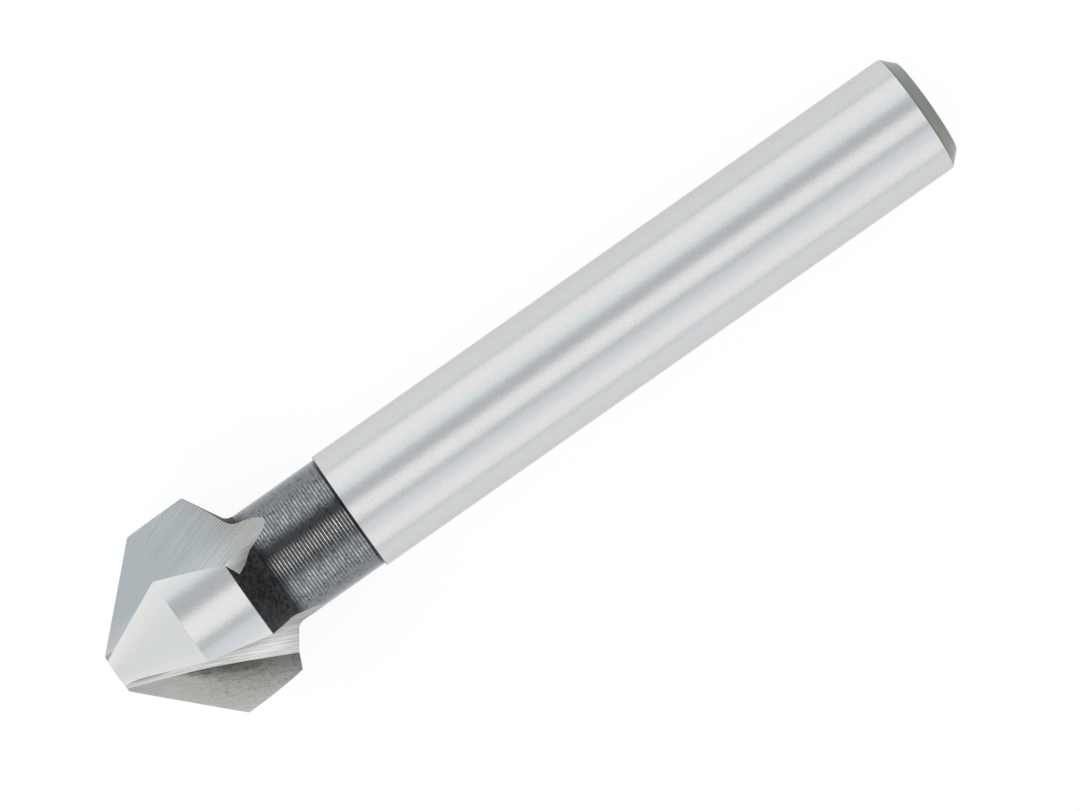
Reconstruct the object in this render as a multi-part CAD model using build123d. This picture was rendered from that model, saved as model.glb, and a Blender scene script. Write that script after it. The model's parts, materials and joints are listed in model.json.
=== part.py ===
from build123d import *

import os
from itertools import product
from math import acos, asin, atan2, cos, degrees, hypot, pi, radians, sin, tan

# Three-flute 90 degree countersink bit with a plain shank, made from one bar of high-speed steel.
# The tool is modelled along its own axis, with its tip at zero and its shank end at the top. It is
# then laid on a table as it comes to rest: on the two corners beside its lowest flute and on the
# rim of its shank. X then runs from the tip to the shank end, and Z is up.

# Turned form, lengths and diameters in millimetres, angles in degrees
overall_length = 60.0
shank_diameter = 8.0
shank_end_chamfer = 0.8
neck_diameter = 7.66
neck_length = 6.4
neck_fillet_radius = 0.7
head_diameter = 13.0
land_length = 4.1
head_back_angle = 61.0
tip_diameter = 2.6
point_angle = 90.0

# Ground flutes. Directions round the axis are counted from the cutting corner, offsets from the
# axis are taken at the tip, and a wall that leans comes further from the axis towards the shank.
flute_count = 3
rake_hook_angle = 18.8
rake_lean = -21.5
gullet_direction = -49.0
gullet_offset = 0.43
gullet_lean = 7.6
floor_direction = 9.0
floor_offset = 0.43
floor_lean = 12.7
flute_root_radius = 4.45

# Worked out from the driving dimensions
head_radius = head_diameter / 2
shank_radius = shank_diameter / 2
neck_radius = neck_diameter / 2
tip_radius = tip_diameter / 2
point_length = (head_radius - tip_radius) / tan(radians(point_angle / 2))
land_end = point_length + land_length
head_back_length = (head_radius - neck_radius) / tan(radians(head_back_angle))
neck_start = land_end + head_back_length
shank_start = neck_start + neck_length
rake_direction = -90 - rake_hook_angle
rake_offset = head_radius * cos(radians(rake_direction)) - point_length * tan(radians(rake_lean))
cutter_reach = 2 * (head_diameter + neck_start)
tolerance = 1e-6


def turned_blank():
    """The bar after turning: nose, land, back of the head, neck and shank."""
    outline = Polyline(
        (0, 0),
        (tip_radius, 0),
        (head_radius, point_length),
        (head_radius, land_end),
        (neck_radius, neck_start),
        (neck_radius, shank_start),
        (shank_radius, shank_start),
        (shank_radius, overall_length - shank_end_chamfer),
        (shank_radius - shank_end_chamfer, overall_length),
        (0, overall_length),
        close=True,
    )
    section = make_face(outline)
    throat = section.vertices().sort_by_distance((neck_radius, neck_start))[0]
    section = fillet(throat, neck_fillet_radius)
    return revolve(Plane.XZ * section, Axis.Z)


def wall_plane(direction, offset, lean):
    """Plane of one wall of the flute, with its normal pointing into the flute."""
    outward = Vector(cos(radians(direction)), sin(radians(direction)), 0)
    normal = outward * cos(radians(lean)) - Vector(0, 0, 1) * sin(radians(lean))
    return Plane(origin=outward * offset, z_dir=normal)


def open_side(wall):
    """Everything on the flute's side of a wall."""
    block = Box(cutter_reach, cutter_reach, cutter_reach, align=(Align.CENTER, Align.CENTER, Align.MIN))
    return wall * block


def lies_on(edge, wall):
    return abs(wall.to_local_coords(edge @ 0.5).Z) < tolerance


def flute():
    """The space that the grinding wheel takes out: rake face, steep gullet and sloping floor."""
    rake = wall_plane(rake_direction, rake_offset, rake_lean)
    gullet = wall_plane(gullet_direction, gullet_offset, gullet_lean)
    floor = wall_plane(floor_direction, floor_offset, floor_lean)
    space = open_side(rake) & open_side(gullet) & open_side(floor)
    root = [edge for edge in space.edges() if lies_on(edge, gullet) and lies_on(edge, floor)]
    return fillet(root, flute_root_radius)


def land_corner(direction, offset, lean, side, height):
    """Point where a wall of the flute meets the land, on the chosen side of the wall's direction."""
    swing = degrees(acos((offset + height * tan(radians(lean))) / head_radius))
    angle = radians(direction + side * swing)
    return Vector(head_radius * cos(angle), head_radius * sin(angle), height)


def resting_up(trailing, leading):
    """Direction that points up when both corners and the shank's rim touch the table.

    The heights of the trailing corner, the leading corner and the rim above the table are equal.
    That leaves a * sin(turn) + b * cos(turn) + c = 0 for the direction round the axis.
    """
    rim_height = overall_length - shank_end_chamfer
    run = rim_height - trailing.Z
    across = trailing - leading
    share = across.Z / run
    a = across.Y + share * trailing.Y
    b = across.X + share * trailing.X
    c = share * shank_radius
    lag = atan2(b, a)
    swing = asin(-c / hypot(a, b))
    rays = [Vector(cos(turn), sin(turn), 0) for turn in (swing - lag, pi - swing - lag)]
    ray = min(rays, key=trailing.dot)
    rise = (shank_radius + ray.dot(trailing)) / run
    return (ray + Vector(0, 0, rise)).normalized()


def resting_plane():
    """The table's plane in the tool's own frame, under the lowest flute."""
    heights = (point_length, land_end)
    trailing = [land_corner(floor_direction, floor_offset, floor_lean, -1, z) for z in heights]
    leading = [land_corner(rake_direction, rake_offset, rake_lean, 1, z) for z in heights]
    corners = trailing + leading

    def clearance(pair):
        up = resting_up(*pair)
        return min(up.dot(corner) for corner in corners) - up.dot(pair[0])

    touching = max(product(trailing, leading), key=clearance)
    up = resting_up(*touching)
    axis = Vector(0, 0, 1)
    along = axis - up * up.dot(axis)
    return Plane(origin=touching[0], x_dir=along, z_dir=up)


def countersink_bit():
    tool = turned_blank()
    for location in PolarLocations(0, flute_count):
        tool -= location * flute()
    lying = resting_plane().location.inverse() * tool
    box = lying.bounding_box()
    return Pos(-box.center().X, -box.center().Y, -box.min.Z) * lying


os.makedirs("parts", exist_ok=True)
export_step(countersink_bit(), "parts/countersink_bit.step")
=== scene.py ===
import json
from math import acos, atan2, cos, hypot, pi, radians, sin, sqrt, tan

import bpy
import numpy as np
from mathutils import Matrix, Vector


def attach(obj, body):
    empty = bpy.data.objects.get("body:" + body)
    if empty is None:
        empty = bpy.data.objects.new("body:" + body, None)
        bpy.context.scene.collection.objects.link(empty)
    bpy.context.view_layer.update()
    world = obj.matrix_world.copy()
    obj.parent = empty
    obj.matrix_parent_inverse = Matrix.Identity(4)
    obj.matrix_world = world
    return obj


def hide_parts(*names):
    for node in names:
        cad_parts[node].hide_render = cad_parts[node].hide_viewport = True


# A three-flute countersink bit, turned and ground from one bar of high-speed steel. Its shape is
# worked out in millimetres along the tool's own axis, from the tip at zero to the shank end, and
# the object is then laid in the frame as the solid lies. Lights, camera and floor follow.
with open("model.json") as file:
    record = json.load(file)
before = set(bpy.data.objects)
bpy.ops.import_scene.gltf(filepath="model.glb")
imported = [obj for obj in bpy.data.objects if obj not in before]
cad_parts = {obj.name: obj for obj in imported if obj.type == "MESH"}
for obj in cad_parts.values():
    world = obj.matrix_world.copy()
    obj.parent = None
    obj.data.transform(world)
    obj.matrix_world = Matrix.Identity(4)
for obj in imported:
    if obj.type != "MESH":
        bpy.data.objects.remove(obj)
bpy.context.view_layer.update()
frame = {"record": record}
record = frame["record"]
metre = 0.001

# Turned form, lengths and diameters in millimetres, angles in degrees
overall_length = 60.0
shank_diameter = 8.0
shank_end_chamfer = 0.8
neck_diameter = 7.66
neck_length = 6.4
neck_fillet_radius = 0.7
head_diameter = 13.0
land_length = 4.1
head_back_angle = 61.0
tip_diameter = 2.6
point_angle = 90.0
edge_break = 0.03

# Turning marks on the neck, as fine waves
groove_pitch = 0.213
groove_depth = 0.014

# Ground flutes. Directions round the axis are counted from the cutting corner, offsets from the
# axis are taken at the tip, and a wall that leans comes further from the axis towards the shank.
flute_count = 3
rake_hook_angle = 18.8
rake_lean = -21.5
gullet_direction = -49.0
gullet_offset = 0.43
gullet_lean = 7.6
floor_direction = 9.0
floor_offset = 0.43
floor_lean = 12.7
flute_root_radius = 4.45

# The grinding wheel that swept the flute floors left arcs about this centre
wheel_station = 14.7
wheel_side = 19.0
wheel_mark_pitch = 0.17

# The gullet wall is ground slightly hollow, so light leaves it as if it leaned less steeply. The
# hollow fades out over the first part of the blend into the floor, and beside the rake face it
# covers more of the blend. Parts of the blend are shares of its turn from gullet to floor.
gullet_hollow = 13.0
gullet_part = 0.5
hollow_part = 0.6
full_part_by_rake = 0.6
last_part_by_rake = 0.8
rake_side_length = 4.5

# Fineness of the mesh
sides_around = 192
steps_per_groove = 6
steps_per_edge = 3
steps_per_throat = 10
steps_per_root = 40

# Worked out from the driving dimensions
head_radius = head_diameter / 2
shank_radius = shank_diameter / 2
neck_radius = neck_diameter / 2
tip_radius = tip_diameter / 2
point_length = (head_radius - tip_radius) / tan(radians(point_angle / 2))
land_end = point_length + land_length
neck_start = land_end + (head_radius - neck_radius) / tan(radians(head_back_angle))
shank_start = neck_start + neck_length
rake_direction = -90 - rake_hook_angle
rake_offset = head_radius * cos(radians(rake_direction)) - point_length * tan(radians(rake_lean))
cutter_reach = 3 * head_diameter


def linear(hex_colour):
    """Linear red, green, blue and alpha of an sRGB colour written as rrggbb."""
    shares = [int(hex_colour[i:i + 2], 16) / 255 for i in (0, 2, 4)]
    return [s / 12.92 if s <= 0.04045 else ((s + 0.055) / 1.055) ** 2.4 for s in shares] + [1.0]


def add_node(tree, kind, inputs=(), **settings):
    """Adds a node with its settings. Its inputs are given by name or in order, each as a value for
    the socket, as an output, or as a node, which stands for the first of its outputs in use."""
    node = tree.nodes.new(kind)
    for name, setting in settings.items():
        setattr(node, name, setting)
    by_socket = inputs if isinstance(inputs, dict) else dict(enumerate(inputs))
    for name, value in by_socket.items():
        if isinstance(value, bpy.types.Node):
            value = next(output for output in value.outputs if output.enabled)
        if isinstance(value, bpy.types.NodeSocket):
            tree.links.new(value, node.inputs[name])
        else:
            node.inputs[name].default_value = value
    return node


straight_up = Vector((0, 0, 1))


def in_plane(direction, normal):
    """The direction, laid over into the plane that is square to the normal."""
    return (direction - normal * normal.dot(direction)).normalized()


def to_shank_end(line):
    """The line's direction, turned about where it points towards the tip."""
    return -line if line.z < 0 else line


# Where the tool lies

def land_corner(direction, offset, lean, side, station):
    """Point where a wall of the flute meets the land, on the chosen side of the wall's direction."""
    swing = acos((offset + station * tan(radians(lean))) / head_radius)
    angle = radians(direction) + side * swing
    return Vector((head_radius * cos(angle), head_radius * sin(angle), station))


def resting_turn(axis):
    """Direction round the tool's axis that points up, so that two corners of a flute are level.

    They are the floor's corner at the back of the land and the cutting corner at its front.
    """
    trailing = land_corner(floor_direction, floor_offset, floor_lean, -1, land_end)
    leading = land_corner(rake_direction, rake_offset, rake_lean, 1, point_length)
    across = trailing - leading
    level = -axis.z * across.z / (hypot(across.x, across.y) * sqrt(1 - axis.z ** 2))
    return atan2(across.y, across.x) - acos(level)


def tool_frame():
    """The tool's own frame, with its origin at the tip, in metres."""
    end = next(mount for mount in record["mounts"] if mount["name"] == "shank_end")
    axis = Vector(end["axis"]).normalized()
    up = in_plane(straight_up, axis)
    aside = axis.cross(up)
    turn = resting_turn(axis)
    across = up * cos(turn) - aside * sin(turn)
    along = up * sin(turn) + aside * cos(turn)
    tip = Vector(end["pos_m"]) - axis * overall_length * metre
    return Matrix.Translation(tip) @ Matrix((across, along, axis)).transposed().to_4x4()


tool = tool_frame()
tool_axis = tool.col[2].to_3d()
upright_turn = resting_turn(tool_axis)
tool_tip = tool.translation
upright = in_plane(straight_up, tool_axis)


# Camera: it looks down on the tool, almost square to its axis. Lengths and stations are in
# millimetres along the tool and across it, angles in degrees, and the focal length is that of a lens
# over a sensor of the usual 36 mm.

camera_roll = 1.87
camera_station = 22.26
camera_height = 405.5
camera_side = 1.396
sight_station = 30.33
picture_turn = 35.08
focal_length = 222.7


def make_camera():
    roll = radians(camera_roll)
    aside = Vector((0, -1, 0))
    height = upright * cos(roll) - aside * sin(roll)
    side = upright * sin(roll) + aside * cos(roll)
    base = tool_tip + side * camera_side * metre
    place = base + tool_axis * camera_station * metre + height * camera_height * metre
    sight = base + tool_axis * sight_station * metre
    back = (place - sight).normalized()
    turn = radians(picture_turn)
    up = tool_axis * sin(turn) - side * cos(turn)
    right = up.cross(back).normalized()
    up = back.cross(right)
    data = bpy.data.cameras.new("camera")
    data.lens = focal_length
    data.clip_start = 0.01
    data.clip_end = 20
    camera = bpy.data.objects.new("camera", data)
    camera.matrix_world = Matrix.Translation(place) @ Matrix((right, up, back)).transposed().to_4x4()
    bpy.context.scene.collection.objects.link(camera)
    bpy.context.scene.camera = camera


make_camera()


# Shape of the turned blank, as runs along its profile. A run is a list of (station, radius, angle)
# points with the name of its finish, where the angle is that of the outward normal, counted from
# straight out towards the shank end.

def rounded_runs(corners, finishes):
    """Straight runs between corners, with an arc at each corner that has a rounding."""
    spots = [Vector(corner[:2]) for corner in corners]
    runs = []
    start = spots[0]
    for i, finish in enumerate(finishes):
        along = (spots[i + 1] - spots[i]).normalized()
        lean = atan2(-along.y, along.x)
        rounding, steps = corners[i + 1][2:]
        turn = 0.0
        if rounding:
            onward = (spots[i + 2] - spots[i + 1]).normalized()
            turn = atan2(-onward.y, onward.x) - lean
        cut = rounding * tan(abs(turn) / 2)
        end = spots[i + 1] - along * cut
        runs.append((finish, [(start.x, start.y, lean), (end.x, end.y, lean)]))
        start = end
        if rounding:
            side = 1 if turn > 0 else -1
            centre = end - side * rounding * Vector((sin(lean), cos(lean)))
            angles = [lean + turn * k / steps for k in range(steps + 1)]
            arc = [(*(centre + side * rounding * Vector((sin(a), cos(a)))), a) for a in angles]
            runs.append((finish, arc))
            start = Vector(arc[-1][:2])
    return runs


def grooved_run(finish, start, end):
    """Turning marks between two stations, as waves below the neck's radius."""
    count = round((end - start) / groove_pitch)
    steps = count * steps_per_groove
    points = []
    for k in range(steps + 1):
        phase = 2 * pi * count * k / steps
        station = start + (end - start) * k / steps
        slope = -groove_depth / 2 * sin(phase) * 2 * pi * count / (end - start)
        radius = neck_radius - groove_depth / 2 * (1 - cos(phase))
        points.append((station, radius, -atan2(slope, 1)))
    return finish, points


def turned_runs():
    corners = [
        (0, 0, 0, 0),
        (0, tip_radius, edge_break, steps_per_edge),
        (point_length, head_radius, edge_break, steps_per_edge),
        (land_end, head_radius, edge_break, steps_per_edge),
        (neck_start, neck_radius, neck_fillet_radius, steps_per_throat),
        (shank_start, neck_radius, 0, 0),
        (shank_start, shank_radius, edge_break, steps_per_edge),
        (overall_length - shank_end_chamfer, shank_radius, edge_break, steps_per_edge),
        (overall_length, shank_radius - shank_end_chamfer, edge_break, steps_per_edge),
        (overall_length, 0, 0, 0),
    ]
    finishes = ["nose", "nose", "land", "throat", "neck", "throat", "shank", "end", "end"]
    runs = []
    for finish, points in rounded_runs(corners, finishes):
        if finish == "neck":
            runs.append(grooved_run(finish, points[0][0], points[1][0]))
        else:
            runs.append((finish, points))
    return runs


finish_names = ["nose", "land", "throat", "neck", "shank", "end", "floor", "gullet", "rake"]

# Points of the profile that are closer than this are one
same_spot = 1e-7


def make_mesh(name, points, faces, finishes, normals, places):
    """A mesh in millimetres. Each face corner keeps its true normal and its place on the face."""
    mesh = bpy.data.meshes.new(name)
    mesh.from_pydata(points, [], faces)
    for finish in finish_names:
        mesh.materials.append(materials[finish])
    mesh.polygons.foreach_set("material_index", [finish_names.index(f) for f in finishes])
    true_normal = mesh.attributes.new("true_normal", "FLOAT_VECTOR", "CORNER")
    true_normal.data.foreach_set("vector", np.array(normals, np.float32).ravel())
    marks = mesh.uv_layers.new(name="grinding_marks")
    marks.uv.foreach_set("vector", np.array(places, np.float32).ravel())
    mesh.update()
    return mesh


def turned_mesh():
    """The runs swept round the axis."""
    turns = [2 * pi * k / sides_around for k in range(sides_around)]
    points, faces, finishes, normals, places = [], [], [], [], []

    def ring(station, radius):
        if radius < same_spot:
            points.append((0, 0, station))
            return [len(points) - 1] * sides_around
        points.extend((radius * cos(t), radius * sin(t), station) for t in turns)
        return list(range(len(points) - sides_around, len(points)))

    def corner(turn, spot):
        station, radius, angle = spot
        normals.append((cos(angle) * cos(turn), cos(angle) * sin(turn), sin(angle)))
        places.append((station, radius * turn))

    last_spot = None
    last_ring = None
    for finish, run in turned_runs():
        for spot in run:
            if last_spot and hypot(spot[0] - last_spot[0], spot[1] - last_spot[1]) < same_spot:
                last_spot = spot
                continue
            new_ring = ring(*spot[:2])
            if last_spot:
                for k in range(sides_around):
                    turn = turns[k]
                    onward = turn + 2 * pi / sides_around
                    n = (k + 1) % sides_around
                    loop = [(last_ring[k], turn, last_spot), (last_ring[n], onward, last_spot)]
                    loop += [(new_ring[n], onward, spot), (new_ring[k], turn, spot)]
                    loop = [c for i, c in enumerate(loop) if c[0] != loop[i - 1][0]]
                    faces.append([c[0] for c in loop])
                    finishes.append(finish)
                    for _, angle, place in loop:
                        corner(angle, place)
            last_spot = spot
            last_ring = new_ring
    return make_mesh("countersink_bit", points, faces, finishes, normals, places)


def wall(direction, offset, lean):
    """A point of the wall and its normal, which points into the flute."""
    outward = Vector((cos(radians(direction)), sin(radians(direction)), 0))
    normal = outward * cos(radians(lean)) - straight_up * sin(radians(lean))
    return outward * offset, normal


def root_blend(gullet_wall, floor_wall, root):
    """The rounding between two walls: its centre, and its normals from the one wall to the other."""
    gullet_spot, gullet = gullet_wall
    floor_spot, floor = floor_wall
    rows = Matrix((gullet, floor, root))
    reach = Vector((gullet.dot(gullet_spot), floor.dot(floor_spot), 0))
    centre = rows.inverted() @ (reach + Vector((flute_root_radius, flute_root_radius, 0)))
    swing = gullet.angle(floor)
    bow = in_plane(floor, gullet)
    spread = [swing * k / steps_per_root for k in range(steps_per_root + 1)]
    return centre, [gullet * cos(a) + bow * sin(a) for a in spread]


def shading_normals(arc, up_wall):
    """Normals by which light leaves the blend, first away from the rake face and then beside it."""
    sag = up_wall * tan(radians(gullet_hollow))
    parts = [k / steps_per_root for k in range(steps_per_root + 1)]
    away = [n + sag * max(0, 1 - part / hollow_part) for n, part in zip(arc, parts)]
    away = [normal.normalized() for normal in away]
    spread = last_part_by_rake - full_part_by_rake
    own = [min(1, max(0, (part - full_part_by_rake) / spread)) for part in parts]
    beside = [away[0].lerp(normal, share).normalized() for normal, share in zip(away, own)]
    return away, beside


def flute_cutter(turn):
    """The space that the wheel takes out: a rounded wedge cut off by the rake face."""
    rake_spot, rake = wall(rake_direction, rake_offset, rake_lean)
    gullet_wall = wall(gullet_direction, gullet_offset, gullet_lean)
    floor_wall = wall(floor_direction, floor_offset, floor_lean)
    gullet = gullet_wall[1]
    floor = floor_wall[1]
    root = to_shank_end(gullet.cross(floor).normalized())
    centre, arc = root_blend(gullet_wall, floor_wall, root)
    section = [centre - normal * flute_root_radius for normal in arc]
    gullet_end = section[0] + in_plane(floor, gullet) * cutter_reach
    floor_end = section[-1] + in_plane(gullet, floor) * cutter_reach
    outline = [gullet_end, *section, floor_end]

    # Three rows of points along the blend: on the rake face, where the shading beside it ends, and
    # beyond the tool
    near = [spot + root * (rake.dot(rake_spot - spot) / rake.dot(root)) for spot in outline]
    middle = [spot + root * rake_side_length for spot in near]
    far = [spot + root * 2 * cutter_reach for spot in outline]
    spots = near + middle + far
    count = len(outline)
    spin = Matrix.Rotation(turn, 3, "Z")
    points = [spin @ spot for spot in spots]
    faces, finishes, normals, places = [], [], [], []

    # The lines that a face's grinding marks are placed from: a start, along, and away
    line = to_shank_end(rake.cross(gullet).normalized())
    line_start = near[0] - line * near[0].z / line.z
    up_wall = in_plane(rake, gullet)
    on_floor = (Vector((0, 0, 0)), in_plane(straight_up, floor), in_plane(gullet, floor))
    on_gullet = (line_start, line, up_wall)
    on_rake = (line_start, line, in_plane(gullet, rake))

    def face(loop, finish, loop_normals, lines):
        start, along, away = lines
        faces.append(loop)
        finishes.append(finish)
        for i, normal in zip(loop, loop_normals):
            arm = spots[i] - start
            normals.append(spin @ normal)
            places.append((arm.dot(along), arm.dot(away)))

    def strips(shine):
        """Normals at the two ends of each strip, where the walls beside the blend are flat."""
        return [(shine[0], shine[0]), *zip(shine, shine[1:]), (floor, floor)]

    away_shine, beside_shine = shading_normals(arc, up_wall)
    last = strips(away_shine)
    for start, first in ((0, strips(beside_shine)), (count, last)):
        for i in range(count - 1):
            loop = [start + i, start + i + 1, start + count + i + 1, start + count + i]
            ends = [*first[i], *last[i][::-1]]
            if i < steps_per_root * gullet_part:
                face(loop, "gullet", ends, on_gullet)
            else:
                face(loop, "floor", ends, on_floor)
        back = [start + count - 1, start, start + count, start + 2 * count - 1]
        face(back, "floor", [floor] * 4, on_floor)
    face(list(range(count))[::-1], "rake", [rake] * count, on_rake)
    face(list(range(2 * count, 3 * count)), "floor", [root] * count, on_floor)
    return make_mesh("flute_cutter", points, faces, finishes, normals, places)


def make_tool():
    scene = bpy.context.scene
    piece = bpy.data.objects.new("countersink_bit_ground", turned_mesh())
    scene.collection.objects.link(piece)
    cutters = []
    for k in range(flute_count):
        cutter = bpy.data.objects.new("flute_cutter", flute_cutter(2 * pi * k / flute_count))
        scene.collection.objects.link(cutter)
        cut = piece.modifiers.new("flute", "BOOLEAN")
        cut.operation = "DIFFERENCE"
        cut.solver = "EXACT"
        cut.object = cutter
        cutters.append(cutter)
    cut_piece = piece.evaluated_get(bpy.context.evaluated_depsgraph_get())
    mesh = bpy.data.meshes.new_from_object(cut_piece)
    piece.modifiers.clear()
    piece.data = mesh
    for cutter in cutters:
        bpy.data.objects.remove(cutter)
    normals = np.zeros(len(mesh.loops) * 3, np.float32)
    mesh.attributes["true_normal"].data.foreach_get("vector", normals)
    normals = normals.reshape(-1, 3)
    normals /= np.linalg.norm(normals, axis=1, keepdims=True)
    normals = normals @ np.array(tool.to_3x3()).T
    mesh.transform(tool @ Matrix.Scale(metre, 4))
    mesh.shade_smooth()
    mesh.normals_split_custom_set(normals.tolist())
    return piece


# Finishes. Spacings, sizes and depths are in millimetres, and stations are counted from the tip. Real
# grinding scratches and grains are only some thousandths of a millimetre wide, too fine to show, so
# they are drawn as coarse as they need to be.

# Settings that many nodes share, and the sockets of a colour mix. A range node's inputs are the
# value, the two ends that it comes from, and what it becomes at each of them.
smooth = {"interpolation_type": "SMOOTHSTEP"}
in_colour = {"data_type": "RGBA"}
share_socket, first_colour, second_colour = 0, 6, 7

# Share of its reflection that a surface keeps where it is seen almost edge-on. Scratches, grain and
# a matt skin lose some of it.
dimmed_edge = (0.85, 0.85, 0.85, 1.0)
plain_edge = (1.0, 1.0, 1.0, 1.0)


def empty_material(name):
    material = bpy.data.materials.new(name)
    material.use_nodes = True
    material.node_tree.nodes.clear()
    return material, material.node_tree


def start_material(name):
    """An empty material, with the place in the tool's own frame in millimetres."""
    material, tree = empty_material(name)
    place = add_node(tree, "ShaderNodeMapping", {
        "Vector": add_node(tree, "ShaderNodeTexCoord").outputs["Object"],
        "Location": tool.to_translation(),
        "Rotation": tool.to_euler(),
        "Scale": (metre, metre, metre),
    }, vector_type="TEXTURE")
    return material, tree, place


def finish_material(tree, shader_inputs):
    shader = add_node(tree, "ShaderNodeBsdfPrincipled", shader_inputs)
    add_node(tree, "ShaderNodeOutputMaterial", {"Surface": shader})


def lumps(tree, place, spacing, detail=2.0, roughness=0.5):
    """Uneven lumps, with their spacing in millimetres along each direction of the place."""
    in_lumps = add_node(tree, "ShaderNodeMapping", {
        "Vector": place,
        "Scale": [1 / s for s in spacing],
    })
    return add_node(tree, "ShaderNodeTexNoise", {
        "Vector": in_lumps,
        "Scale": 1.0,
        "Detail": detail,
        "Roughness": roughness,
    })


def ground_relief(tree, place, scratch_spacing, grain_size):
    """Scratches round the bar and a fine grain, with the bumps that both of them make."""
    depth = 0.004
    scratches = lumps(tree, place, scratch_spacing)
    grain = lumps(tree, place, (grain_size, grain_size, grain_size))
    relief = add_node(tree, "ShaderNodeBump", {
        "Height": add_node(tree, "ShaderNodeMath", [scratches, grain], operation="ADD"),
        "Distance": depth * metre,
        "Strength": 1.0,
    })
    return scratches, grain, relief


def centreless_ground_steel():
    """Shank: high-speed steel, centreless ground. Fine scratches round the bar make the edges of
    its reflections soft and grainy."""
    scratch_spacing = (0.5, 0.5, 0.07)
    grain_size = 0.16
    material, tree, place = start_material("centreless_ground_steel")
    scratches, grain, relief = ground_relief(tree, place, scratch_spacing, grain_size)
    finish_material(tree, {
        "Base Color": add_node(tree, "ShaderNodeMix", {
            share_socket: grain,
            first_colour: linear("cccdce"),
            second_colour: linear("d4d5d5"),
        }, **in_colour),
        "Metallic": 1.0,
        "Roughness": add_node(tree, "ShaderNodeMapRange", [scratches, 0.3, 0.7, 0.24, 0.3], **smooth),
        "Specular Tint": dimmed_edge,
        "Normal": relief,
    })
    return material


def cylindrical_ground_steel(name, dark, light, roughness):
    """Land and nose: high-speed steel ground with a finer wheel than the shank. The land's
    reflections are smoother than the shank's, and the relief-ground nose has soft ones."""
    scratch_spacing = (0.6, 0.6, 0.05)
    grain_size = 0.14
    material, tree, place = start_material(name)
    _, grain, relief = ground_relief(tree, place, scratch_spacing, grain_size)
    finish_material(tree, {
        "Base Color": add_node(tree, "ShaderNodeMix", {
            share_socket: grain,
            first_colour: linear(dark),
            second_colour: linear(light),
        }, **in_colour),
        "Metallic": 1.0,
        "Roughness": roughness,
        "Specular Tint": dimmed_edge,
        "Normal": relief,
    })
    return material


def wheel_marked_steel():
    """Flute floor: high-speed steel ground by the rim of a wheel. It leaves fine arcs that grow
    stronger towards the neck, where the steel is also a little dull."""
    depth = 0.006
    faint_to = 3.0
    strong_from = 10.0
    bright_to = 8.0
    dull_from = 11.5
    material, tree, place = start_material("wheel_marked_steel")
    marks = add_node(tree, "ShaderNodeUVMap", uv_map="grinding_marks")
    centre = (wheel_station, -wheel_side, 0)
    arm = add_node(tree, "ShaderNodeVectorMath", [marks, centre], operation="SUBTRACT")
    radius = add_node(tree, "ShaderNodeVectorMath", [arm], operation="LENGTH")
    ways = add_node(tree, "ShaderNodeSeparateXYZ", [arm]).outputs
    turn = add_node(tree, "ShaderNodeMath", [ways["X"], ways["Y"]], operation="ARCTAN2")
    spot = add_node(tree, "ShaderNodeSeparateXYZ", [place]).outputs

    # The rim's grit wears unevenly. Its marks are narrow, long round the arc, and different in each
    # flute. A tenth of a millimetre is coarser than the real ones, so that they show.
    mark_width = 0.1
    changes_per_radian = 5.0
    changes_per_millimetre = 0.3
    uneven = add_node(tree, "ShaderNodeTexNoise", {
        "Vector": add_node(tree, "ShaderNodeCombineXYZ", [
            add_node(tree, "ShaderNodeMath", [radius, mark_width], operation="DIVIDE"),
            add_node(tree, "ShaderNodeMath", [turn, changes_per_radian], operation="MULTIPLY"),
            add_node(tree, "ShaderNodeMath", [spot["X"], changes_per_millimetre], operation="MULTIPLY"),
        ]),
        "Scale": 1.0,
        "Detail": 2.0,
        "Roughness": 0.6,
    })

    # Waves across the arcs, a pitch apart but drifting, and stronger towards the neck
    drift_in_radians = 5.0
    wave_share = 0.7
    per_millimetre = 2 * pi / wheel_mark_pitch
    even = add_node(tree, "ShaderNodeMath", [radius, per_millimetre], operation="MULTIPLY")
    drift = add_node(tree, "ShaderNodeMath", [uneven, drift_in_radians], operation="MULTIPLY")
    phase = add_node(tree, "ShaderNodeMath", [even, drift], operation="ADD")
    sine = add_node(tree, "ShaderNodeMath", [phase], operation="SINE")
    wave = add_node(tree, "ShaderNodeMath", [sine, wave_share], operation="MULTIPLY")
    waves = add_node(tree, "ShaderNodeMath", [wave, uneven], operation="ADD")
    reach = [spot["Z"], faint_to, strong_from, 0.08, 1.0]
    growth = add_node(tree, "ShaderNodeMapRange", reach, **smooth)
    height = add_node(tree, "ShaderNodeMath", [waves, growth], operation="MULTIPLY")

    # The marks' share between dark and light swings about a half, however strong they are
    half_growth = add_node(tree, "ShaderNodeMath", [growth, 0.5], operation="MULTIPLY")
    swing = add_node(tree, "ShaderNodeMath", [height, half_growth], operation="SUBTRACT")
    share = add_node(tree, "ShaderNodeMath", [swing, 0.5], operation="ADD")
    clean = add_node(tree, "ShaderNodeMix", {
        share_socket: share,
        first_colour: linear("b7bbbd"),
        second_colour: linear("d4d6d7"),
    }, **in_colour)
    dull = add_node(tree, "ShaderNodeMix", {
        share_socket: share,
        first_colour: linear("a6a5a3"),
        second_colour: linear("c6c4c1"),
    }, **in_colour)
    reach = [spot["Z"], bright_to, dull_from, 0.0, 1.0]
    dullness = add_node(tree, "ShaderNodeMapRange", reach, **smooth)
    finish_material(tree, {
        "Base Color": add_node(tree, "ShaderNodeMix", {
            share_socket: dullness,
            first_colour: clean,
            second_colour: dull,
        }, **in_colour),
        "Metallic": 1.0,
        "Roughness": 0.35,
        "Specular Tint": dimmed_edge,
        "Normal": add_node(tree, "ShaderNodeBump", {
            "Height": height,
            "Distance": depth * metre,
            "Strength": 1.0,
        }),
    })
    return material


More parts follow.
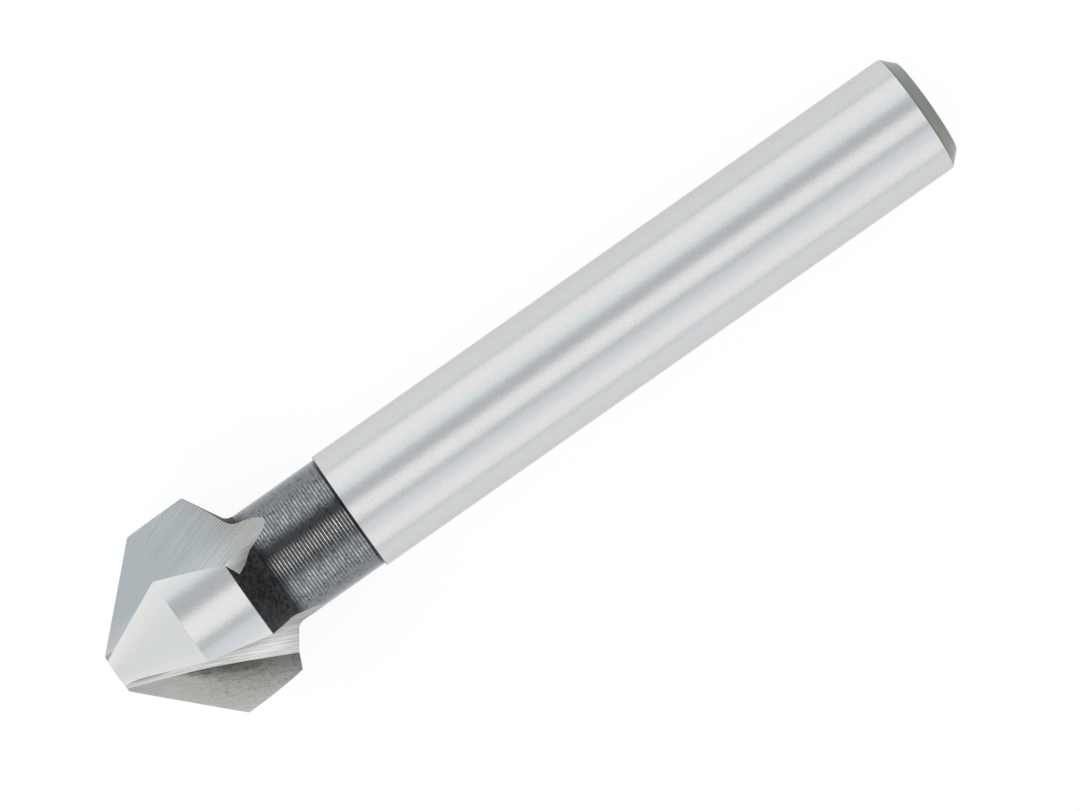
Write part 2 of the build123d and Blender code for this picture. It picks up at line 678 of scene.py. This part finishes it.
def streaked_relief(tree, marks, place):
    """Streaks along the line where the rake face meets the gullet wall, a grain, and the bumps that
    both of them make. The marks give the place along that line and away from it."""
    grain_share = 0.5
    depth = 0.008
    strokes = lumps(tree, marks, (2.5, 0.14, 1.0), detail=3.0, roughness=0.6)
    grain = lumps(tree, place, (0.2, 0.2, 0.2), detail=3.0)
    fine = add_node(tree, "ShaderNodeMath", [grain, grain_share], operation="MULTIPLY")
    relief = add_node(tree, "ShaderNodeBump", {
        "Height": add_node(tree, "ShaderNodeMath", [strokes, fine], operation="ADD"),
        "Distance": depth * metre,
        "Strength": 1.0,
    })
    return strokes, grain, relief


def satin_ground_steel():
    """Gullet wall: high-speed steel ground to a bright satin, with streaks that catch the light. It
    is duller towards the neck, as the floor is."""
    bright_to = 8.6
    dull_from = 11.5
    material, tree, place = start_material("satin_ground_steel")
    marks = add_node(tree, "ShaderNodeUVMap", uv_map="grinding_marks")
    strokes, _, relief = streaked_relief(tree, marks, place)
    station = add_node(tree, "ShaderNodeSeparateXYZ", [place]).outputs["Z"]
    reach = [station, bright_to, dull_from]
    dullness = add_node(tree, "ShaderNodeMapRange", [*reach, 0.0, 1.0], **smooth)
    metallic = add_node(tree, "ShaderNodeMapRange", [*reach, 0.6, 1.0], **smooth)
    contrast = add_node(tree, "ShaderNodeMapRange", [strokes, 0.35, 0.65, 0.0, 1.0], **smooth)
    clean = add_node(tree, "ShaderNodeMix", {
        share_socket: contrast,
        first_colour: linear("cdcfcb"),
        second_colour: linear("f3f3ef"),
    }, **in_colour)
    dull = add_node(tree, "ShaderNodeMix", {
        share_socket: contrast,
        first_colour: linear("8f8e8b"),
        second_colour: linear("b3b1ae"),
    }, **in_colour)
    finish_material(tree, {
        "Base Color": add_node(tree, "ShaderNodeMix", {
            share_socket: dullness,
            first_colour: clean,
            second_colour: dull,
        }, **in_colour),
        "Metallic": metallic,
        "Roughness": 0.36,
        "Specular Tint": dimmed_edge,
        "Normal": relief,
    })
    return material


def rake_steel_with_painted_shade():
    """Rake face: high-speed steel with a brushed mottle. Beside the gullet wall it is darkened by
    painted shade: darker patches, and a dark band with ragged edges and fine smudges."""
    shade_full_to = 0.8
    shade_faint_from = 3.4
    patch_shade_start = 2.0
    patch_shade_full = 10.0
    shade_band_start = 2.5
    shade_band_widest = 7.0
    fade_start = 7.5
    fade_end = 10.0
    grain_strength = 0.6
    patch_reach = 2.0
    material, tree, place = start_material("rake_steel_with_painted_shade")
    marks = add_node(tree, "ShaderNodeUVMap", uv_map="grinding_marks")
    _, grain, relief = streaked_relief(tree, marks, place)
    ways = add_node(tree, "ShaderNodeSeparateXYZ", [marks]).outputs
    along = ways["X"]
    away = ways["Y"]
    # Share of painted shade, by the distance from the gullet wall
    reach = [away, shade_full_to, shade_faint_from, 1.0, 0.2]
    painted_shade_near_gullet = add_node(tree, "ShaderNodeMapRange", reach, **smooth)
    patches = lumps(tree, marks, (1.1, 0.3, 1.0), detail=4.0, roughness=0.65)

    # The clean steel, with a brushed mottle and a fine grain
    strokes = lumps(tree, marks, (1.2, 0.16, 1.0), detail=3.0)
    brushed = add_node(tree, "ShaderNodeMapRange", [strokes, 0.3, 0.7, 0.0, 1.0], **smooth)
    mottle = add_node(tree, "ShaderNodeMix", {
        share_socket: brushed,
        first_colour: linear("efebe3"),
        second_colour: linear("fcf8f0"),
    }, **in_colour)
    grainy = add_node(tree, "ShaderNodeMix", {
        share_socket: add_node(tree, "ShaderNodeMath", [grain, grain_strength], operation="MULTIPLY"),
        first_colour: mottle,
        second_colour: linear("e4e0d8"),
    }, **in_colour)

    # Darker patches of painted shade, which grow towards the land and are strongest beside the
    # gullet wall
    reach = [along, patch_shade_start, patch_shade_full, 0.0, 1.0]
    outward = add_node(tree, "ShaderNodeMapRange", reach, **smooth)
    patchy_shade = add_node(tree, "ShaderNodeMath", [outward, patches], operation="MULTIPLY")
    patchily_shaded = add_node(tree, "ShaderNodeMix", {
        share_socket: add_node(tree, "ShaderNodeMath", [patchy_shade, painted_shade_near_gullet], operation="MULTIPLY"),
        first_colour: grainy,
        second_colour: linear("8a8a86"),
    }, **in_colour)

    # A dark band of painted shade beside the gullet wall, which widens away from the tip and fades
    # out towards the land
    shade_band_reach = [along, shade_band_start, shade_band_widest]
    shade_band_width = add_node(tree, "ShaderNodeMapRange", [*shade_band_reach, 0.2, 1.1], **smooth)
    ratio = add_node(tree, "ShaderNodeMath", [away, shade_band_width], operation="DIVIDE")
    raggedness = add_node(tree, "ShaderNodeMath", [patches, patch_reach], operation="MULTIPLY")
    ragged = add_node(tree, "ShaderNodeMath", [ratio, raggedness], operation="ADD")
    shade_band = add_node(tree, "ShaderNodeMapRange", [ragged, 1.0, 2.3, 1.0, 0.0], **smooth)
    reach = [along, fade_start, fade_end, 1.0, 0.6]
    fade = add_node(tree, "ShaderNodeMapRange", reach, **smooth)
    band_shaded = add_node(tree, "ShaderNodeMix", {
        share_socket: add_node(tree, "ShaderNodeMath", [shade_band, fade], operation="MULTIPLY"),
        first_colour: patchily_shaded,
        second_colour: linear("74756f"),
    }, **in_colour)

    # Dark smudges of painted shade beside the gullet wall, which begin where the band does
    specks = lumps(tree, marks, (0.3, 0.13, 1.0), detail=4.0, roughness=0.7)
    strength = add_node(tree, "ShaderNodeMapRange", [specks, 0.48, 0.68, 0.0, 0.5], **smooth)
    onset = add_node(tree, "ShaderNodeMapRange", [*shade_band_reach, 0.0, 1.0], **smooth)
    shade_smudges = add_node(tree, "ShaderNodeMath", [strength, onset], operation="MULTIPLY")
    finish_material(tree, {
        "Base Color": add_node(tree, "ShaderNodeMix", {
            share_socket: add_node(tree, "ShaderNodeMath", [shade_smudges, painted_shade_near_gullet], operation="MULTIPLY"),
            first_colour: band_shaded,
            second_colour: linear("3e3f3b"),
        }, **in_colour),
        "Metallic": 0.5,
        "Roughness": 0.42,
        "Specular Tint": dimmed_edge,
        "Normal": relief,
    })
    return material


def black_oxide():
    """Back of the head and the throat: a matt black skin that keeps hardly any reflection, a little
    patchy where it has taken unevenly."""
    depth = 0.006
    material, tree, place = start_material("black_oxide")
    patches = lumps(tree, place, (0.3, 0.3, 0.2), detail=3.0)
    contrast = add_node(tree, "ShaderNodeMapRange", [patches, 0.35, 0.65, 0.0, 1.0], **smooth)
    finish_material(tree, {
        "Base Color": add_node(tree, "ShaderNodeMix", {
            share_socket: contrast,
            first_colour: linear("121213"),
            second_colour: linear("363536"),
        }, **in_colour),
        "Roughness": 0.55,
        "IOR": 1.35,
        "Specular Tint": dimmed_edge,
        "Normal": add_node(tree, "ShaderNodeBump", {
            "Height": patches,
            "Distance": depth * metre,
            "Strength": 1.0,
        }),
    })
    return material


def turned_steel():
    """Chamfer and end face: left as turned and tinted grey by hardening, with rings round the bar
    and a thin dark line beside the ground shank."""
    depth = 0.004
    dark_line_width = 0.12
    material, tree, place = start_material("turned_steel")
    rings = lumps(tree, place, (2.0, 2.0, 0.06))
    station = add_node(tree, "ShaderNodeSeparateXYZ", [place]).outputs["Z"]
    # Darker in a thin line beside the ground shank
    rim = overall_length - shank_end_chamfer
    reach = [station, rim, rim + dark_line_width, 0.7, 0.0]
    dark_line = add_node(tree, "ShaderNodeMapRange", reach, **smooth)
    grey = add_node(tree, "ShaderNodeMix", {
        share_socket: rings,
        first_colour: linear("6c706b"),
        second_colour: linear("9c9f99"),
    }, **in_colour)
    finish_material(tree, {
        "Base Color": add_node(tree, "ShaderNodeMix", {
            share_socket: dark_line,
            first_colour: grey,
            second_colour: linear("303230"),
        }, **in_colour),
        "Metallic": 1.0,
        "Roughness": 0.32,
        "Specular Tint": plain_edge,
        "Normal": add_node(tree, "ShaderNodeBump", {
            "Height": rings,
            "Distance": depth * metre,
            "Strength": 1.0,
        }),
    })
    return material


def facing(tree, place, turn, full, none):
    """Share of the neck's surface that faces one way: all within one angle of it, and none beyond a
    wider one. The way is counted in degrees round the tool's axis, from straight above."""
    middle = upright_turn + radians(turn)
    way = (cos(middle), sin(middle), 0)
    height = add_node(tree, "ShaderNodeVectorMath", [place, way], operation="DOT_PRODUCT")
    share = add_node(tree, "ShaderNodeMath", [height, neck_radius], operation="DIVIDE")
    least = cos(radians(none))
    most = cos(radians(full))
    return add_node(tree, "ShaderNodeMapRange", [share, least, most, 0.0, 1.0], **smooth)


def grooved_oxide():
    """Neck: a thin dark oxide on the turning marks, with fine pits. Along its upper side the lights'
    reflections are painted: a dark band, and bright highlights on the crests, so that the marks
    stand out there as fine light lines."""
    pit_depth = 0.012
    patch_depth = 0.008
    throat_to = neck_start + 0.3
    clear_from = neck_start + 1.3
    clear_to = shank_start - 0.25
    corner_from = shank_start - 0.1
    material, tree, place = start_material("grooved_oxide")
    station = add_node(tree, "ShaderNodeSeparateXYZ", [place]).outputs["Z"]
    patches = lumps(tree, place, (0.7, 0.7, 0.5), detail=3.0, roughness=0.7)
    pits = lumps(tree, place, (0.22, 0.22, 0.22), detail=3.0, roughness=0.6)

    # Lines along the crests of the marks, broken up where the oxide is patchy
    first = neck_start + neck_fillet_radius * tan(radians(head_back_angle / 2))
    turns = round((shank_start - first) / groove_pitch) * 2 * pi
    phase = add_node(tree, "ShaderNodeMapRange", [station, first, shank_start, 0.0, turns])
    crest = add_node(tree, "ShaderNodeMath", [phase], operation="COSINE")
    uneven = add_node(tree, "ShaderNodeMapRange", [patches, 0.3, 0.7, 0.35, 1.0], **smooth)
    sharp = add_node(tree, "ShaderNodeMapRange", [crest, 0.5, 1.0, 0.0, 1.0], **smooth)
    soft = add_node(tree, "ShaderNodeMapRange", [crest, -1.0, 1.0, 0.0, 1.0], **smooth)
    sharp_line = add_node(tree, "ShaderNodeMath", [sharp, uneven], operation="MULTIPLY")
    soft_line = add_node(tree, "ShaderNodeMath", [soft, uneven], operation="MULTIPLY")

    # From the sides of the neck to its upper line, bands by direction round the axis paint the
    # lights' reflections: plain, lighter lines on the marks, a dark band, and bright crest highlights
    marked = add_node(tree, "ShaderNodeMix", {
        share_socket: soft_line,
        first_colour: linear("62666b"),
        second_colour: linear("b4b8bb"),
    }, **in_colour)
    oxide = add_node(tree, "ShaderNodeMix", {
        share_socket: facing(tree, place, turn=0.0, full=36.0, none=58.0),
        first_colour: linear("7c8186"),
        second_colour: marked,
    }, **in_colour)
    # Painted shade: a darker band along the upper side of the neck
    painted_dark_band = add_node(tree, "ShaderNodeMix", {
        share_socket: facing(tree, place, turn=-2.0, full=10.0, none=28.0),
        first_colour: oxide,
        second_colour: linear("4e4f51"),
    }, **in_colour)
    # Painted highlights on the crests along the upper line
    painted_crest_highlight = facing(tree, place, turn=4.0, full=3.0, none=15.0)
    lined = add_node(tree, "ShaderNodeMix", {
        share_socket: add_node(tree, "ShaderNodeMath", [sharp_line, painted_crest_highlight], operation="MULTIPLY"),
        first_colour: painted_dark_band,
        second_colour: linear("ecebe8"),
    }, **in_colour)
    pitted = add_node(tree, "ShaderNodeMix", {
        share_socket: add_node(tree, "ShaderNodeMapRange", [pits, 0.5, 0.68, 0.0, 0.55], **smooth),
        first_colour: lined,
        second_colour: linear("1c1c1e"),
    }, **in_colour)

    # It is black in the throat, and painted shade darkens it in the corner beside the shank
    reach = [station, throat_to, clear_from, 0.0, 1.0]
    past_throat = add_node(tree, "ShaderNodeMapRange", reach, **smooth)
    reach = [station, clear_to, corner_from, 1.0, 0.1]
    before_corner = add_node(tree, "ShaderNodeMapRange", reach, **smooth)
    clear = add_node(tree, "ShaderNodeMath", [past_throat, before_corner], operation="MULTIPLY")
    finish_material(tree, {
        "Base Color": add_node(tree, "ShaderNodeMix", {
            share_socket: clear,
            first_colour: linear("262628"),
            second_colour: pitted,
        }, **in_colour),
        "Metallic": 1.0,
        "Roughness": 0.17,
        "Specular Tint": plain_edge,
        "Normal": add_node(tree, "ShaderNodeBump", {
            "Height": pits,
            "Distance": pit_depth * metre,
            "Strength": 1.0,
            "Normal": add_node(tree, "ShaderNodeBump", {
                "Height": patches,
                "Distance": patch_depth * metre,
                "Strength": 1.0,
            }),
        }),
    })
    return material


materials = {
    "nose": cylindrical_ground_steel("relief_ground_steel", "e6e4e1", "edebe8", 0.36),
    "land": cylindrical_ground_steel("cylindrical_ground_steel", "cccdce", "d3d4d4", 0.22),
    "throat": black_oxide(),
    "neck": grooved_oxide(),
    "shank": centreless_ground_steel(),
    "end": turned_steel(),
    "floor": wheel_marked_steel(),
    "gullet": satin_ground_steel(),
    "rake": rake_steel_with_painted_shade(),
}

bit = make_tool()
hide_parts("countersink_bit")
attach(bit, "root")


# Lights: long soft boxes beside the camera, parallel to the tool, and a pale room. Angles are
# counted round the tool's axis from straight above, positive towards the lower edge of the picture.
# A side box has two halves, and the half next to the camera is dimmer. The last box stands beyond
# the shank end and lights the rake face. A row gives the name, the first and last angle, the lean
# towards the shank end, the reach along the tool, the colour, and the brightness added to the room.

light_distance = 1.2

# Watts for each square metre of a lamp that looks as bright as a background of 1
white_power = 4
soft_boxes = [
    ("left_outer_box", -84, -52, 0, 20, "ffecdd", 0.51),
    ("left_inner_box", -52, -34, 0, 20, "fbfff9", 0.4),
    ("top_box", -9, 20, 0, 20, "fff4e9", 0.53),
    ("right_inner_box", 31, 52, 0, 20, "fbfffd", 0.29),
    ("right_outer_box", 52, 84, 0, 20, "ffebe1", 0.49),
    ("rake_box", -56, -32, 38, 14, "fffaf4", 0.37),
]


def make_soft_box(name, first, last, lean, reach, colour, brightness):
    """A soft box that adds its brightness to the room's, where 1 is white."""
    middle = radians((first + last) / 2)
    side = Vector((0, -1, 0))
    over = upright * cos(middle) + side * sin(middle)
    away = over * cos(radians(lean)) + tool_axis * sin(radians(lean))
    data = bpy.data.lights.new(name, "AREA")
    data.shape = "RECTANGLE"
    data.size = 2 * light_distance * tan(radians(reach))
    data.size_y = 2 * light_distance * tan(radians(last - first) / 2)
    data.color = linear(colour)[:3]
    data.energy = white_power * brightness * data.size * data.size_y
    lamp = bpy.data.objects.new(name, data)
    cross = away.cross(tool_axis).normalized()
    along = cross.cross(away)
    place = Matrix.Translation(tool_tip + away * light_distance)
    lamp.matrix_world = place @ Matrix((along, cross, away)).transposed().to_4x4()
    lamp.visible_camera = False
    bpy.context.scene.collection.objects.link(lamp)


for box in soft_boxes:
    make_soft_box(*box)


def make_world():
    world = bpy.data.worlds.new("studio")
    bpy.context.scene.world = world
    world.use_nodes = True
    tree = world.node_tree
    tree.nodes.clear()
    place = add_node(tree, "ShaderNodeTexCoord").outputs["Generated"]
    split = add_node(tree, "ShaderNodeSeparateXYZ", [place])
    ramp = add_node(tree, "ShaderNodeValToRGB", [split.outputs["Z"]])
    ramp.color_ramp.elements[0].color = linear("cedbe2")
    ramp.color_ramp.elements[1].color = linear("ced2d6")
    room = add_node(tree, "ShaderNodeBackground", {"Color": ramp, "Strength": 1.0})
    white = add_node(tree, "ShaderNodeBackground", {"Color": linear("ffffff"), "Strength": 1.0})
    seen = add_node(tree, "ShaderNodeLightPath").outputs["Is Camera Ray"]
    shown = add_node(tree, "ShaderNodeMixShader", [seen, room, white])
    add_node(tree, "ShaderNodeOutputWorld", {"Surface": shown})


make_world()


# The table lights the tool as white paper does. Where it is seen, straight or in a reflection, it
# glows almost white by itself, and a small share of the light on it keeps the tool's soft shadow.

table_size = 6.0
table_glow = 0.885
shadow_share = (0.16, 0.16, 0.16, 1.0)


def make_floor():
    half = table_size / 2
    corners = [(-half, -half, 0), (half, -half, 0), (half, half, 0), (-half, half, 0)]
    mesh = bpy.data.meshes.new("floor")
    mesh.from_pydata(corners, [], [[0, 1, 2, 3]])
    material, tree = empty_material("white_table")
    paper = add_node(tree, "ShaderNodeBsdfDiffuse", {"Color": linear("f4f4f4")})
    shaded = add_node(tree, "ShaderNodeBsdfDiffuse", {"Color": shadow_share})
    glow = add_node(tree, "ShaderNodeEmission", {"Color": linear("ffffff"), "Strength": table_glow})
    shown = add_node(tree, "ShaderNodeAddShader", [shaded, glow])
    path = add_node(tree, "ShaderNodeLightPath").outputs
    rays = [path["Is Camera Ray"], path["Is Glossy Ray"]]
    seen = add_node(tree, "ShaderNodeMath", rays, operation="MAXIMUM")
    rays = [seen, path["Is Transmission Ray"]]
    seen = add_node(tree, "ShaderNodeMath", rays, operation="MAXIMUM")
    surface = add_node(tree, "ShaderNodeMixShader", [seen, paper, shown])
    add_node(tree, "ShaderNodeOutputMaterial", {"Surface": surface})
    mesh.materials.append(material)
    floor = bpy.data.objects.new("table", mesh)
    bpy.context.scene.collection.objects.link(floor)


make_floor()

bpy.context.scene.view_settings.view_transform = "Standard"
